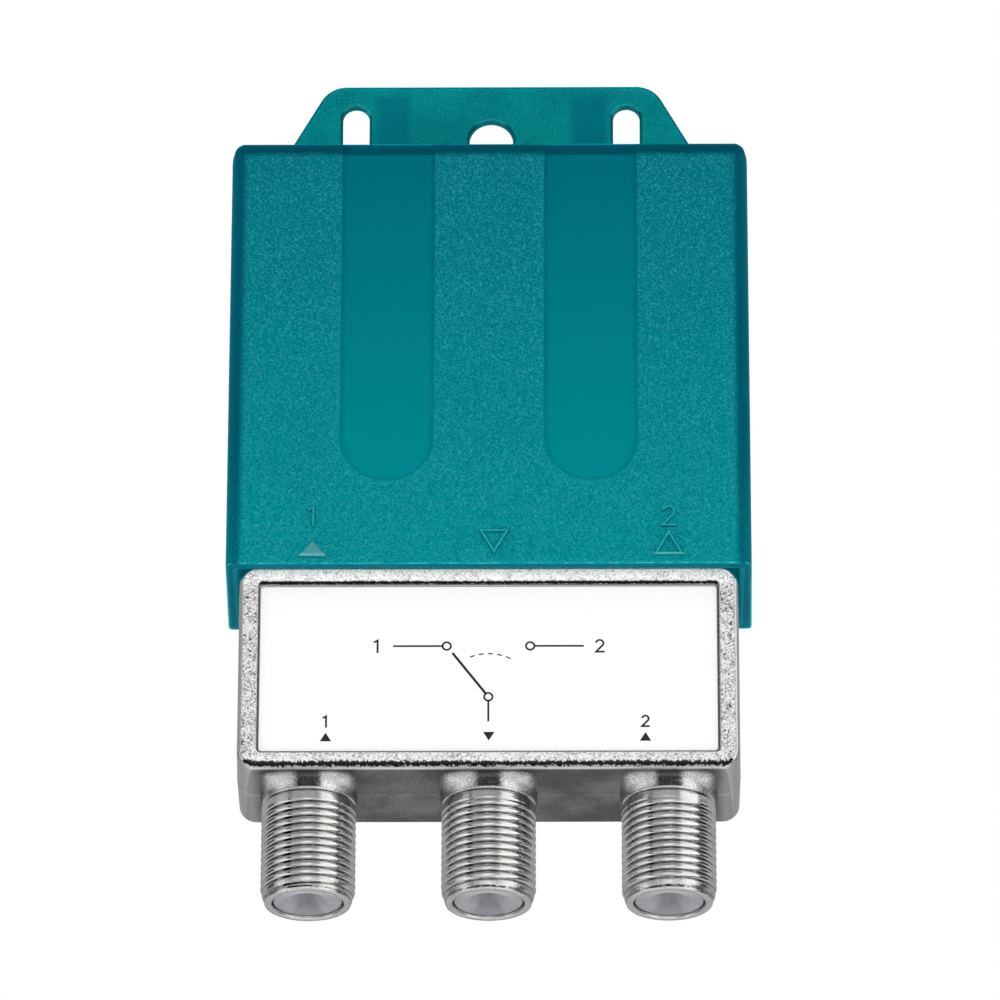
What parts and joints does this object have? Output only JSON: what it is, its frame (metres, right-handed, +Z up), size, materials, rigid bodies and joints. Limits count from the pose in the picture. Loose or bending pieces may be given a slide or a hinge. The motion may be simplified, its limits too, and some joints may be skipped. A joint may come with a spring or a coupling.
{
  "type": "satellite switch",
  "caption": "Outdoor coaxial satellite switch: die-cast box with threaded ports below, sliding up into a translucent rain cover that hangs by a slotted flange.",
  "frame": {"origin": "centre of the screw hole at the back face of the flange", "axes": "+Z up along the slide, +X to the right seen from the front, +Y towards the wall, so the front faces -Y"},
  "size_m": [0.0536, 0.0186, 0.0964],
  "materials": {
    "cover_plastic": "frosted translucent teal polypropylene, fine moulded grain on the front, smooth on the two tracks",
    "plated_zinc": "nickel-plated zinc die casting, satin, with coarse cast grain on the front frame",
    "lid_steel": "tinned sheet steel",
    "label_film": null,
    "insulator_plastic": "milky translucent plastic",
    "contact_metal": "tin-plated brass spring socket",
    "board_laminate": "green solder mask on glass laminate",
    "solder": "bright solder",
    "black_epoxy": "moulded black epoxy",
    "tinned_lead": "tinned copper alloy",
    "ferrite": "sintered ferrite",
    "copper_wire": "enamelled copper wire",
    "chip_ceramic": "fired ceramic with tinned ends",
    "chip_film": "glazed resistor film with tinned ends",
    "can_aluminium": "drawn aluminium can"
  },
  "bodies": {
    "cover": {"rain_cover": "cover_plastic", "mounting_flange": "cover_plastic", "stand_off_ribs": "cover_plastic"},
    "switch_unit": {"switch_housing": "plated_zinc", "back_lid": "lid_steel", "label": "label_film", "port_insulator_left": "insulator_plastic", "port_insulator_centre": "insulator_plastic", "port_insulator_right": "insulator_plastic", "port_contact_left": "contact_metal", "port_contact_centre": "contact_metal", "port_contact_right": "contact_metal", "circuit_board": "board_laminate", "solder_joints": "solder", "microcontroller": "black_epoxy", "microcontroller_leads": "tinned_lead", "voltage_regulator": "black_epoxy", "choke_cores": "ferrite", "choke_windings": "copper_wire", "ceramic_capacitors": "chip_ceramic", "chip_resistors": "chip_film", "capacitor_can": "can_aluminium", "capacitor_base": "black_epoxy", "switching_diodes": "black_epoxy", "switching_transistors": "black_epoxy", "ceramic_resonator": "tinned_lead"}
  },
  "joints": [
    {"name": "unit_slide", "type": "slide", "parent": "cover", "child": "switch_unit", "axis": [0, 0, 1], "range_m": [0, 0.038]}
  ]
}
